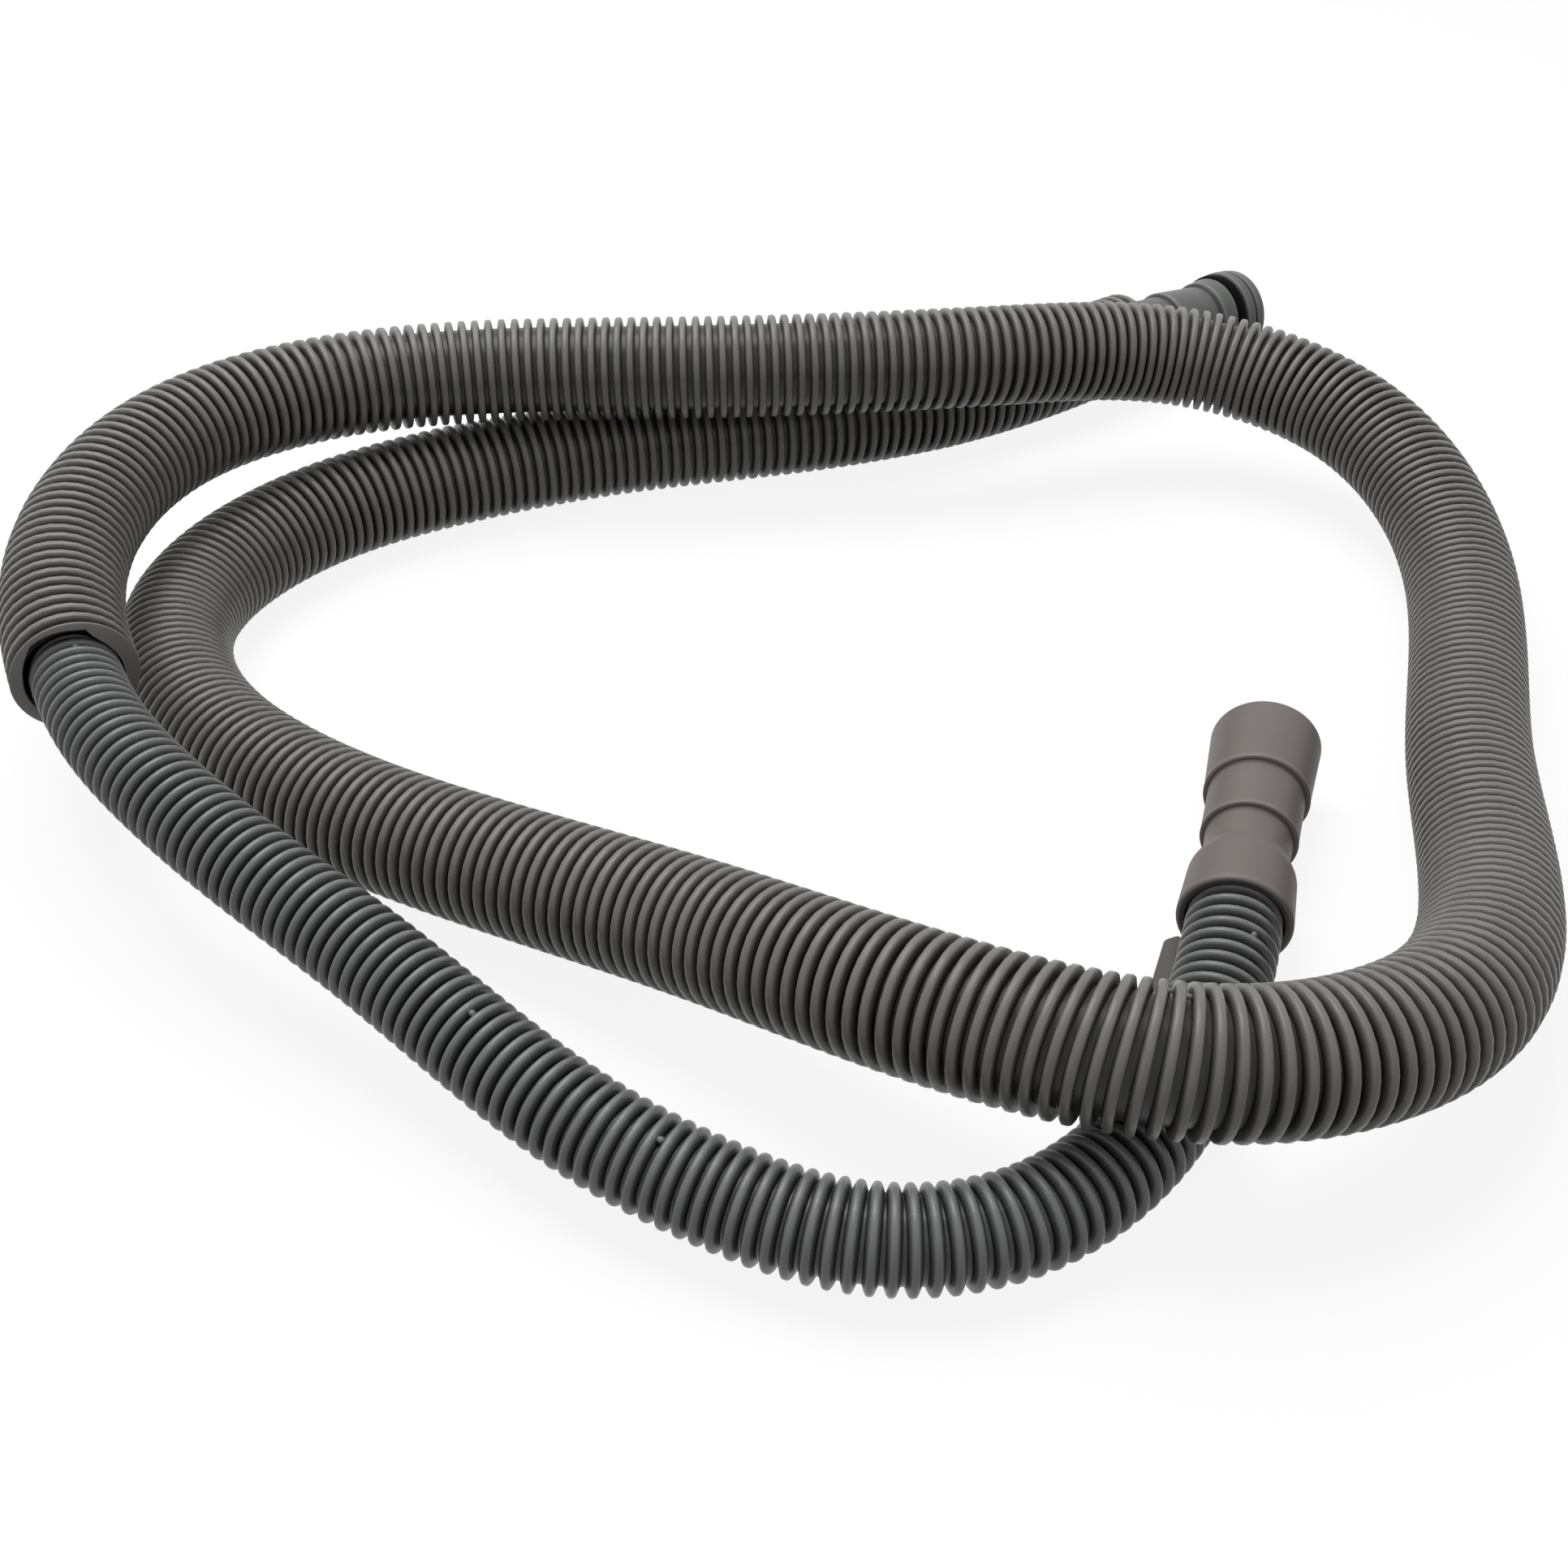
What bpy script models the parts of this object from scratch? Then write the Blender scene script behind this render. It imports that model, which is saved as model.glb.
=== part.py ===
# Dishwasher drain hose, laid out in a loose loop.
# A corrugated drain hose runs from a stepped outlet cuff to a sealed machine connector.
# A larger corrugated sleeve covers it from the connector to a cut end beside the cuff.
# Lengths are in millimetres and become metres where a mesh is made. +Z is up.

import math

import bmesh
import bpy
import numpy as np
from mathutils import Vector

for item in list(bpy.data.objects):
    bpy.data.objects.remove(item, do_unlink=True)

MM = 0.001

# Ribs of the hose and the sleeve.
# The real ribs lie about 4 apart, and each rib here stands for two of them.
HOSE_RIB_DEPTH = 2.3
HOSE_RIB_PITCH = 7.8
HOSE_RIBS_UNDER_SLEEVE = 24.0
SLEEVE_RIB_DEPTH = 2.9
SLEEVE_RIB_PITCH = 9.2
SLEEVE_BORE_RADIUS = 12.3
TUBE_SIDES = 10
PLAIN_STEP = 24.0

# Centre line of the hose from its end in the cuff to its end in the connector
ROUTE = [
    (106.3, -125.6, 14.0), (103.1, -135.7, 13.9), (96.5, -155.0, 12.7), (85.0, -180.0, 11.7),
    (67.5, -205.0, 11.5), (42.5, -222.9, 11.5), (12.0, -226.8, 11.8), (-17.2, -217.4, 13.2),
    (-44.2, -203.3, 17.0), (-68.6, -185.2, 21.5), (-96.6, -162.7, 28.0), (-125.5, -141.6, 34.7),
    (-153.5, -119.0, 41.8), (-172.1, -98.4, 45.5), (-182.9, -80.7, 47.3), (-202.0, -20.5, 51.0),
    (-191.5, 39.8, 53.0), (-154.7, 78.9, 51.5), (-101.5, 98.0, 49.2), (-43.5, 101.5, 48.8),
    (15.0, 105.8, 48.5), (73.5, 116.2, 47.0), (131.5, 126.3, 42.0), (183.4, 96.8, 34.5),
    (202.8, 42.6, 23.0), (194.8, -16.0, 16.8), (178.0, -73.0, 16.5), (164.2, -130.6, 20.6),
    (136.5, -181.9, 30.5), (82.5, -204.4, 38.0), (26.0, -188.5, 37.9), (-21.2, -155.2, 28.5),
    (-71.7, -124.3, 21.0), (-123.0, -93.0, 17.0), (-165.8, -53.0, 16.3), (-183.4, 1.5, 16.2),
    (-158.3, 56.0, 16.5), (-111.0, 89.2, 16.6), (-56.0, 110.5, 16.6), (3.0, 125.4, 16.6),
    (63.5, 149.0, 17.4), (104.5, 173.8, 20.2), (122.3, 188.1, 20.4), (138.2, 199.2, 19.4),
]
SLEEVE_FROM_POINT = 14
SLEEVE_TO_POINT = 42

# Radii to the crests of the ribs, which change a little along the route: (route point, radius)
HOSE_RADII = [(2, 11.5), (4, 11.3), (14, 11.3), (16, 11.1), (41, 11.1), (42, 10.9)]
SLEEVE_RADII = [
    (14, 15.8), (16, 16.1), (18, 16.6), (22, 16.6), (24, 16.1), (32, 16.1), (35, 16.2), (37, 16.6),
    (40, 16.9), (42, 17.4),
]

# Stepped outlet cuff, lengths along its axis from the bell's rim
CUFF_START = (103.1, -135.7, 13.95)
CUFF_AZIMUTH = 17.8
CUFF_SLOPE = 0.4
BELL_RADIUS = 13.9
BELL_SHOULDER_AT = 12.0
BELL_SHOULDER_RADIUS = 13.3
NECK_AT = 23.5
NECK_RADIUS = 10.5
SMALL_STEP_AT = 32.4
SMALL_STEP_RADIUS = 12.2
LARGE_STEP_AT = 50.5
LARGE_STEP_RADIUS = 13.6
CUFF_END_AT = 74.6
CUFF_END_RADIUS = 14.4
SOCKET_RADIUS = 12.0
SOCKET_DEPTH = 11.0

# Machine connector, lengths along its axis from the first step's rim
CONNECTOR_START = (141.5, 201.5, 19.2)
CONNECTOR_AZIMUTH = 55.0
CONNECTOR_SLOPE = -3.5
CONNECTOR_NECK_FROM = -22.6
CONNECTOR_NECK_RADIUS = 13.0
FIRST_STEP_RADIUS = 14.3
SECOND_STEP_AT = 20.6
SECOND_STEP_RADIUS = 14.8
GROOVE_FROM = 27.2
GROOVE_TO = 31.8
GROOVE_RADIUS = 13.9
FLANGE_RADIUS = 17.0
END_GROOVE_AT = 36.4
CONNECTOR_END_AT = 41.4
CONNECTOR_BORE_RADIUS = 12.0
SEAL_RADIUS = 16.3
SEAL_GAP = 0.3

# Flat tab beside the hose
TAB_CENTRE = (87.4, -143.3)
TAB_WIDTH = 7.0
TAB_LENGTH = 34.0
TAB_THICKNESS = 2.2
TAB_CORNER = 2.5
TAB_AZIMUTH = 20.6

TURN_STEPS = 28


def natural_spline(points):
    """Fine samples of the natural cubic spline through points, with their arc lengths."""
    points = np.array(points, dtype=float)
    chords = np.linalg.norm(np.diff(points, axis=0), axis=1)
    count = len(points)
    system = np.eye(count)
    right = np.zeros((count, 3))
    for i in range(1, count - 1):
        before, after = chords[i - 1], chords[i]
        system[i, i - 1:i + 2] = before, 2 * (before + after), after
        slope_change = (points[i + 1] - points[i]) / after - (points[i] - points[i - 1]) / before
        right[i] = 6 * slope_change
    bend = np.linalg.solve(system, right)
    samples = []
    for i, chord in enumerate(chords):
        for u in np.arange(0, 1, 1 / 24):
            a, b = (1 - u) * chord, u * chord
            samples.append(
                bend[i] * a ** 3 / (6 * chord) + bend[i + 1] * b ** 3 / (6 * chord)
                + (points[i] / chord - bend[i] * chord / 6) * a
                + (points[i + 1] / chord - bend[i + 1] * chord / 6) * b)
    samples.append(points[-1])
    samples = np.array(samples)
    steps = np.linalg.norm(np.diff(samples, axis=0), axis=1)
    return samples, np.concatenate([[0.0], np.cumsum(steps)])


ROUTE_SAMPLES, ROUTE_LENGTHS = natural_spline(ROUTE)


def length_at_point(index):
    return ROUTE_LENGTHS[index * 24]


def frame_at(length, radius):
    """Centre, sideways and upward directions of the tube at a length along the route."""
    centre = np.array([np.interp(length, ROUTE_LENGTHS, ROUTE_SAMPLES[:, k]) for k in range(3)])
    ahead = np.array([np.interp(length + 1, ROUTE_LENGTHS, ROUTE_SAMPLES[:, k]) for k in range(3)])
    behind = np.array([np.interp(length - 1, ROUTE_LENGTHS, ROUTE_SAMPLES[:, k]) for k in range(3)])
    tangent = (ahead - behind) / np.linalg.norm(ahead - behind)
    side = np.cross(tangent, (0, 0, 1))
    side /= np.linalg.norm(side)
    centre[2] = max(centre[2], radius)
    return centre, side, np.cross(side, tangent)


def radius_from(radii, length):
    """The crest radius at a length, from a list of route points and radii."""
    marks = [length_at_point(index) for index, _ in radii]
    return np.interp(length, marks, [radius for _, radius in radii])


def hose_radius(length):
    return radius_from(HOSE_RADII, length)


def sleeve_radius(length):
    return radius_from(SLEEVE_RADII, length)


def ring(mesh, length, radius, lift_radius):
    """One ring of vertices round the route, with a vertex straight below the centre."""
    centre, side, up = frame_at(length, lift_radius)
    vertices = []
    for k in range(TUBE_SIDES):
        angle = 2 * math.pi * k / TUBE_SIDES
        point = centre + radius * (math.sin(angle) * side - math.cos(angle) * up)
        vertices.append(mesh.verts.new(point * MM))
    return vertices


def skin(mesh, first, second):
    """Side faces from one ring to the next."""
    for k in range(TUBE_SIDES):
        n = (k + 1) % TUBE_SIDES
        mesh.faces.new((first[k], first[n], second[n], second[k]))


def finish(mesh, name, material):
    bmesh.ops.recalc_face_normals(mesh, faces=mesh.faces)
    data = bpy.data.meshes.new(name)
    mesh.to_mesh(data)
    mesh.free()
    data.shade_smooth()
    data.set_sharp_from_angle(angle=math.radians(40))
    data.materials.append(material)
    item = bpy.data.objects.new(name, data)
    bpy.context.collection.objects.link(item)
    return item


def plain_stretch(start, end, radius_at):
    """Rings (length, radius) along a smooth stretch of tube."""
    count = round((end - start) / PLAIN_STEP)
    return [(length, radius_at(length)) for length in np.linspace(start, end, count + 1)]


def ribbed_stretch(start, end, radius_at, pitch, depth):
    """Rings (length, radius) that go from valley to crest and back, and end in valleys."""
    count = round((end - start) / pitch)
    places = np.linspace(start, end, 2 * count + 1)
    return [(length, radius_at(length) - depth * (1 - i % 2)) for i, length in enumerate(places)]


def wall(mesh, stretch, radius_at):
    """The skin through a stretch's rings, laid so that the tube's crests rest on the floor."""
    rings = [ring(mesh, length, radius, radius_at(length)) for length, radius in stretch]
    for first, second in zip(rings, rings[1:]):
        skin(mesh, first, second)
    return rings


def solid_tube(name, stretch, radius_at, material):
    mesh = bmesh.new()
    rings = wall(mesh, stretch, radius_at)
    mesh.faces.new(rings[0])
    mesh.faces.new(rings[-1])
    return finish(mesh, name, material)


def open_tube(name, stretch, bore, radius_at, material):
    mesh = bmesh.new()
    outer = wall(mesh, stretch, radius_at)
    inner = wall(mesh, bore, radius_at)
    skin(mesh, outer[0], inner[0])
    skin(mesh, outer[-1], inner[-1])
    return finish(mesh, name, material)


def drain_hose(material):
    """Ribbed from the cuff to just under the sleeve, and smooth where the sleeve covers it."""
    covered_from = length_at_point(SLEEVE_FROM_POINT) + HOSE_RIBS_UNDER_SLEEVE
    bare = ribbed_stretch(0, covered_from, hose_radius, HOSE_RIB_PITCH, HOSE_RIB_DEPTH)
    covered = plain_stretch(covered_from + HOSE_RIB_PITCH / 2, ROUTE_LENGTHS[-1], hose_radius)
    return solid_tube("drain_hose", bare + covered, hose_radius, material)


def outer_sleeve(material):
    """Ribbed from its cut end to the connector, open right through for the hose."""
    start, end = length_at_point(SLEEVE_FROM_POINT), length_at_point(SLEEVE_TO_POINT)
    ribs = ribbed_stretch(start, end, sleeve_radius, SLEEVE_RIB_PITCH, SLEEVE_RIB_DEPTH)
    bore = plain_stretch(start, end, lambda length: SLEEVE_BORE_RADIUS)
    return open_tube("outer_sleeve", ribs, bore, sleeve_radius, material)


def filleted(corners, steps=2):
    """A closed outline whose corners (along, radius, fillet) are rounded by short arcs."""
    outline = []
    for i, (along, radius, fillet) in enumerate(corners):
        here = np.array((along, radius))
        if fillet == 0:
            outline.append(tuple(here))
            continue
        back = np.array(corners[i - 1][:2]) - here
        forth = np.array(corners[(i + 1) % len(corners)][:2]) - here
        back /= np.linalg.norm(back)
        forth /= np.linalg.norm(forth)
        half = math.acos(float(np.clip(back @ forth, -1, 1))) / 2
        reach = fillet / math.tan(half)
        middle = here + (back + forth) / np.linalg.norm(back + forth) * fillet / math.sin(half)
        start = here + back * reach - middle
        turn = math.pi - 2 * half
        if start[0] * forth[1] - start[1] * forth[0] < 0:
            turn = -turn
        for k in range(steps + 1):
            c, s = math.cos(turn * k / steps), math.sin(turn * k / steps)
            outline.append(tuple(middle + (c * start[0] - s * start[1], s * start[0] + c * start[1])))
    return outline


def turned(name, outline, start, azimuth, slope, material):
    """Turn an outline (along, radius) about an axis that starts at a point."""
    data = bpy.data.meshes.new(name)
    vertices = [(radius * MM, 0, along * MM) for along, radius in outline]
    edges = [(i, (i + 1) % len(vertices)) for i in range(len(vertices))]
    data.from_pydata(vertices, edges, [])
    data.materials.append(material)
    item = bpy.data.objects.new(name, data)
    bpy.context.collection.objects.link(item)
    turn = item.modifiers.new("Turn", "SCREW")
    turn.steps = TURN_STEPS
    turn.render_steps = TURN_STEPS
    turn.use_merge_vertices = True
    turn.merge_threshold = 0.00001
    turn.use_smooth_shade = True
    azimuth, slope = math.radians(azimuth), math.radians(slope)
    axis = Vector((math.sin(azimuth) * math.cos(slope), math.cos(azimuth) * math.cos(slope), math.sin(slope)))
    item.rotation_mode = "QUATERNION"
    item.rotation_quaternion = axis.to_track_quat("Z", "Y")
    item.location = Vector(start) * MM
    return item


def plastic(name, colour, roughness):
    """A plain moulded plastic or rubber. The colour is given as 8-bit sRGB."""
    material = bpy.data.materials.new(name)
    material.use_nodes = True
    shader = material.node_tree.nodes["Principled BSDF"]
    linear = [((c / 255 + 0.055) / 1.055) ** 2.4 for c in colour]
    shader.inputs["Base Color"].default_value = (*linear, 1)
    shader.inputs["Roughness"].default_value = roughness
    shader.inputs["Metallic"].default_value = 0
    return material


def cuff_outline():
    """Bell for the hose, waist, then two sockets of growing size, each behind a step."""
    waist = []
    for u in (0.2, 0.4, 0.6, 0.8):
        blend = 0.5 - 0.5 * math.cos(math.pi * u)
        waist.append((BELL_SHOULDER_AT + (NECK_AT - BELL_SHOULDER_AT) * u,
                      BELL_SHOULDER_RADIUS + (NECK_RADIUS - BELL_SHOULDER_RADIUS) * blend, 0))
    outer = [
        (0, BELL_RADIUS, 0.5), (BELL_SHOULDER_AT, BELL_SHOULDER_RADIUS, 0), *waist,
        (NECK_AT, NECK_RADIUS, 0), (SMALL_STEP_AT - 0.3, NECK_RADIUS + 0.6, 0),
        (SMALL_STEP_AT, SMALL_STEP_RADIUS, 0.4), (LARGE_STEP_AT - 0.3, SMALL_STEP_RADIUS + 0.3, 0),
        (LARGE_STEP_AT, LARGE_STEP_RADIUS, 0.4), (CUFF_END_AT, CUFF_END_RADIUS, 0.6),
    ]
    bore = [
        (0, SOCKET_RADIUS, 0), (SOCKET_DEPTH, SOCKET_RADIUS, 0), (SOCKET_DEPTH, 9.6, 0),
        (NECK_AT - 5, 8.7, 0), (SMALL_STEP_AT, 8.9, 0), (SMALL_STEP_AT + 2, 10.0, 0),
        (LARGE_STEP_AT, 10.2, 0), (LARGE_STEP_AT + 2, 11.5, 0), (CUFF_END_AT - 1, 11.9, 0),
        (CUFF_END_AT, 12.4, 0),
    ]
    return filleted(outer[::-1] + bore)


def connector_outline():
    """Neck over the hose, two steps, the seal's groove and a flange with a shallow groove."""
    outer = [
        (CONNECTOR_NECK_FROM, CONNECTOR_NECK_RADIUS, 0.3), (-0.6, CONNECTOR_NECK_RADIUS, 0),
        (0, FIRST_STEP_RADIUS, 0.4), (SECOND_STEP_AT - 0.6, FIRST_STEP_RADIUS - 0.8, 0),
        (SECOND_STEP_AT, SECOND_STEP_RADIUS, 0.3), (GROOVE_FROM, SECOND_STEP_RADIUS + 0.8, 0.3),
        (GROOVE_FROM, GROOVE_RADIUS, 0), (GROOVE_TO, GROOVE_RADIUS, 0),
        (GROOVE_TO, FLANGE_RADIUS, 0.4), (END_GROOVE_AT - 0.4, FLANGE_RADIUS, 0.2),
        (END_GROOVE_AT, FLANGE_RADIUS - 1.2, 0), (END_GROOVE_AT + 0.4, FLANGE_RADIUS - 0.1, 0.2),
        (CONNECTOR_END_AT, FLANGE_RADIUS - 0.4, 1.0),
    ]
    bore = [
        (CONNECTOR_NECK_FROM, 11.5, 0), (-2.8, 11.5, 0), (-2.8, 9.6, 0), (4, 9.6, 0),
        (6, CONNECTOR_BORE_RADIUS - 0.5, 0), (CONNECTOR_END_AT - 1, CONNECTOR_BORE_RADIUS, 0),
        (CONNECTOR_END_AT, CONNECTOR_BORE_RADIUS + 0.8, 0),
    ]
    return filleted(outer[::-1] + bore)


def seal_outline():
    """Rubber ring in the connector's groove, rounded outside."""
    low, high = GROOVE_FROM + SEAL_GAP, GROOVE_TO - SEAL_GAP
    base = GROOVE_RADIUS + SEAL_GAP
    return filleted([(high, SEAL_RADIUS, 1.2), (low, SEAL_RADIUS, 1.2), (low, base, 0), (high, base, 0)])


def flat_tab(material):
    """A flat plate with two cut corners, lying beside the hose."""
    w, l, c = TAB_WIDTH / 2, TAB_LENGTH / 2, TAB_CORNER
    corners = [(-w, -l), (w, -l), (w, l - c), (w - c, l), (-w + c, l), (-w, l - c)]
    mesh = bmesh.new()
    base = mesh.faces.new([mesh.verts.new((x * MM, y * MM, 0)) for x, y in corners])
    top = bmesh.ops.extrude_face_region(mesh, geom=[base])
    moved = [v for v in top["geom"] if isinstance(v, bmesh.types.BMVert)]
    bmesh.ops.translate(mesh, vec=(0, 0, TAB_THICKNESS * MM), verts=moved)
    item = finish(mesh, "flat_tab", material)
    item.location = (TAB_CENTRE[0] * MM, TAB_CENTRE[1] * MM, 0)
    item.rotation_euler = (0, 0, -math.radians(TAB_AZIMUTH))
    return item


hose_grey = plastic("hose_grey", (104, 107, 107), 0.45)
sleeve_grey = plastic("sleeve_grey", (112, 111, 109), 0.5)
cuff_grey = plastic("cuff_grey", (118, 109, 106), 0.55)
connector_grey = plastic("connector_grey", (112, 114, 113), 0.5)
seal_black = plastic("seal_black", (25, 25, 25), 0.6)

drain_hose(hose_grey)
outer_sleeve(sleeve_grey)
turned("outlet_cuff", cuff_outline(), CUFF_START, CUFF_AZIMUTH, CUFF_SLOPE, cuff_grey)
turned("machine_connector", connector_outline(), CONNECTOR_START, CONNECTOR_AZIMUTH, CONNECTOR_SLOPE,
       connector_grey)
turned("seal_ring", seal_outline(), CONNECTOR_START, CONNECTOR_AZIMUTH, CONNECTOR_SLOPE, seal_black)
flat_tab(cuff_grey)
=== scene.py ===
import math
import random

import bmesh
import bpy
import numpy as np
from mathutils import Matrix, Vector


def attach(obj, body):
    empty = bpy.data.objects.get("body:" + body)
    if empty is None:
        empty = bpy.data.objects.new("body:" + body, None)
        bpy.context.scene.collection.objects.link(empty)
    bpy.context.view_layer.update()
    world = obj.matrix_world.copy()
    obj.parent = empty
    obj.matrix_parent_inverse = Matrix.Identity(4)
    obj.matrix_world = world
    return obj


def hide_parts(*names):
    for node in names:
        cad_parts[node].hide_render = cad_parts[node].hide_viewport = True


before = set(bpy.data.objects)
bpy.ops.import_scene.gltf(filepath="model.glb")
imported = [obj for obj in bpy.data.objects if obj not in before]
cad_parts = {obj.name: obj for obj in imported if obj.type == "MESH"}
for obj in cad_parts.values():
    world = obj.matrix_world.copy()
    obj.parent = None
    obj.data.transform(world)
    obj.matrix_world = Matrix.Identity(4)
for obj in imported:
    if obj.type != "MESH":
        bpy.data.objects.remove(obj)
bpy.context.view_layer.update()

mm = 0.001
print("frame loaded")


# Camera, at the height and tilt that the outlines of the hose were fitted with
cameraSetup = {
    "lens": 40.64,
    "sensor": 36.0,
    "place": (-0.0045, -0.4515, 0.29765),
    "tilt": 52.548,  # degrees up from straight down
    "clip": (0.01, 20),
}


def makeCamera(setup):
    data = bpy.data.cameras.new("camera")
    data.lens = setup["lens"]
    data.sensor_width = setup["sensor"]
    data.clip_start, data.clip_end = setup["clip"]
    item = bpy.data.objects.new("camera", data)
    item.location = setup["place"]
    item.rotation_euler = (math.radians(setup["tilt"]), 0, 0)
    bpy.context.collection.objects.link(item)
    bpy.context.scene.camera = item


makeCamera(cameraSetup)
print("camera placed")


# Route of the hose from its end in the cuff to its end in the connector, in metres
routePoints = [
    (0.1063, -0.1256, 0.0140), (0.1031, -0.1357, 0.0139), (0.0965, -0.1550, 0.0127),
    (0.0850, -0.1800, 0.0117), (0.0675, -0.2050, 0.0115), (0.0425, -0.2229, 0.0115),
    (0.0120, -0.2268, 0.0118), (-0.0172, -0.2174, 0.0132), (-0.0442, -0.2033, 0.0170),
    (-0.0686, -0.1852, 0.0215), (-0.0966, -0.1627, 0.0280), (-0.1255, -0.1416, 0.0347),
    (-0.1535, -0.1190, 0.0418), (-0.1721, -0.0984, 0.0455), (-0.1829, -0.0807, 0.0473),
    (-0.2020, -0.0205, 0.0510), (-0.1915, 0.0398, 0.0530), (-0.1547, 0.0789, 0.0515),
    (-0.1015, 0.0980, 0.0492), (-0.0435, 0.1015, 0.0488), (0.0150, 0.1058, 0.0485),
    (0.0735, 0.1162, 0.0470), (0.1315, 0.1263, 0.0420), (0.1834, 0.0968, 0.0345),
    (0.2028, 0.0426, 0.0230), (0.1948, -0.0160, 0.0168), (0.1780, -0.0730, 0.0165),
    (0.1642, -0.1306, 0.0206), (0.1365, -0.1819, 0.0305), (0.0825, -0.2044, 0.0380),
    (0.0260, -0.1885, 0.0379), (-0.0212, -0.1552, 0.0285), (-0.0717, -0.1243, 0.0210),
    (-0.1230, -0.0930, 0.0170), (-0.1658, -0.0530, 0.0163), (-0.1834, 0.0015, 0.0162),
    (-0.1583, 0.0560, 0.0165), (-0.1110, 0.0892, 0.0166), (-0.0560, 0.1105, 0.0166),
    (0.0030, 0.1254, 0.0166), (0.0635, 0.1490, 0.0174), (0.1045, 0.1738, 0.0202),
    (0.1223, 0.1881, 0.0204), (0.1382, 0.1992, 0.0194),
]
samplesPerSpan = 24


# Samples along the natural cubic spline through points, and how far along it each one is
def naturalSpline(points):
    points = np.array(points, dtype=float)
    chords = np.linalg.norm(np.diff(points, axis=0), axis=1)
    count = len(points)
    system = np.eye(count)
    right = np.zeros((count, 3))
    for i in range(1, count - 1):
        before, after = chords[i - 1], chords[i]
        system[i, i - 1:i + 2] = before, 2 * (before + after), after
        right[i] = 6 * ((points[i + 1] - points[i]) / after - (points[i] - points[i - 1]) / before)
    bend = np.linalg.solve(system, right)
    samples = []
    for i, chord in enumerate(chords):
        for u in np.arange(samplesPerSpan) / samplesPerSpan:
            a, b = (1 - u) * chord, u * chord
            samples.append(
                bend[i] * a ** 3 / (6 * chord) + bend[i + 1] * b ** 3 / (6 * chord)
                + (points[i] / chord - bend[i] * chord / 6) * a
                + (points[i + 1] / chord - bend[i + 1] * chord / 6) * b)
    samples.append(points[-1])
    samples = np.array(samples)
    steps = np.linalg.norm(np.diff(samples, axis=0), axis=1)
    return samples, np.concatenate([[0.0], np.cumsum(steps)])


routeSamples, routeLengths = naturalSpline(routePoints)
routeLength = routeLengths[-1]


def lengthAtPoint(index):
    return routeLengths[index * samplesPerSpan]


# The tube's centre at a length, no lower than its radius above the floor
def routeAt(length, radius):
    centre = np.array([np.interp(length, routeLengths, routeSamples[:, k]) for k in range(3)])
    centre[2] = max(centre[2], radius)
    return centre


# Centre, direction, side and up of the tube at a length
def routeFrame(length, radius):
    ahead = routeAt(length + mm, radius)
    behind = routeAt(length - mm, radius)
    tangent = (ahead - behind) / np.linalg.norm(ahead - behind)
    side = np.cross(tangent, (0, 0, 1))
    side /= np.linalg.norm(side)
    return routeAt(length, radius), tangent, side, np.cross(side, tangent)


# What a user would change on the hose
hoseSetup = {
    # route point, radius to the rib crests in mm
    "radii": [(2, 11.5), (4, 11.3), (14, 11.3), (16, 11.1), (41, 11.1), (42, 10.9)],
    # route point, distance from rib to rib in mm
    "pitch": [(0, 3.85), (3, 3.8), (6, 3.75), (8, 3.65), (10, 3.5), (14, 3.5), (43, 3.6)],
    "uneven": 0.02,  # largest share by which a pitch is off
    "ribDepth": 2.3 * mm,
    "ribFoot": 1.68 * mm,  # half of a rib's width at its foot
    "flank": 0.7,  # lower for steeper flanks
    "round": 2.1,  # higher for a flatter crest
    "drop": 1.4,  # higher for a wider valley floor
    "bore": 8.3 * mm,
    "sides": 36,
    "rowsPerRib": 12,
    "boreRows": 140,
    "fineUntil": 15,  # route point past which the sleeve hides the ribs and they are plainer
    "ends": (2 * mm, 1.6 * mm),  # from the route's ends to the first and the last crest
    "lean": {"slope": 0, "middle": 0, "reach": 1},  # its ribs don't lean
    "sharpOver": 60,  # degrees
    "seed": 4,
}

# What a user would change on the sleeve
sleeveSetup = {
    "radii": [(14, 15.8), (16, 16.1), (18, 16.6), (22, 16.6), (24, 16.1), (32, 16.1), (35, 16.2),
              (37, 16.6), (40, 16.9), (42, 17.4)],
    "pitch": [(14, 4.35), (19, 4.25), (21, 4.2), (22, 4.0), (23, 3.9), (24, 3.65), (25, 3.4), (27, 3.4),
              (28, 3.8), (29, 3.85), (30, 3.7), (33, 3.75), (35, 3.5), (36, 4.1), (42, 4.1)],
    "uneven": 0.02,
    "from": 14,  # route points at its cut end and at the connector
    "to": 42,
    "firstCrest": 1.2 * mm,  # from the cut end to the crest of the cut rib
    "overlap": 2.6 * mm,  # from the last route point on to the last crest
    "ribDepth": 2.9 * mm,
    "ribFoot": 1.42 * mm,
    "flank": 0.42,
    "round": 3.0,
    "drop": 1.5,
    "bore": 12.4 * mm,
    "sides": 28,
    "rowsPerRib": 8,
    "boreRows": 110,
    # how far the ribs lean against their own radius, the route length in metres where they lean most
    # and the length over which that fades
    "lean": {"slope": 0.19, "middle": 1.318, "reach": 0.026},
    "sharpOver": 60,
    "seed": 9,
}


def radiusAt(setup, length):
    marks = [lengthAtPoint(index) for index, _ in setup["radii"]]
    return np.interp(length, marks, [radius * mm for _, radius in setup["radii"]])


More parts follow.
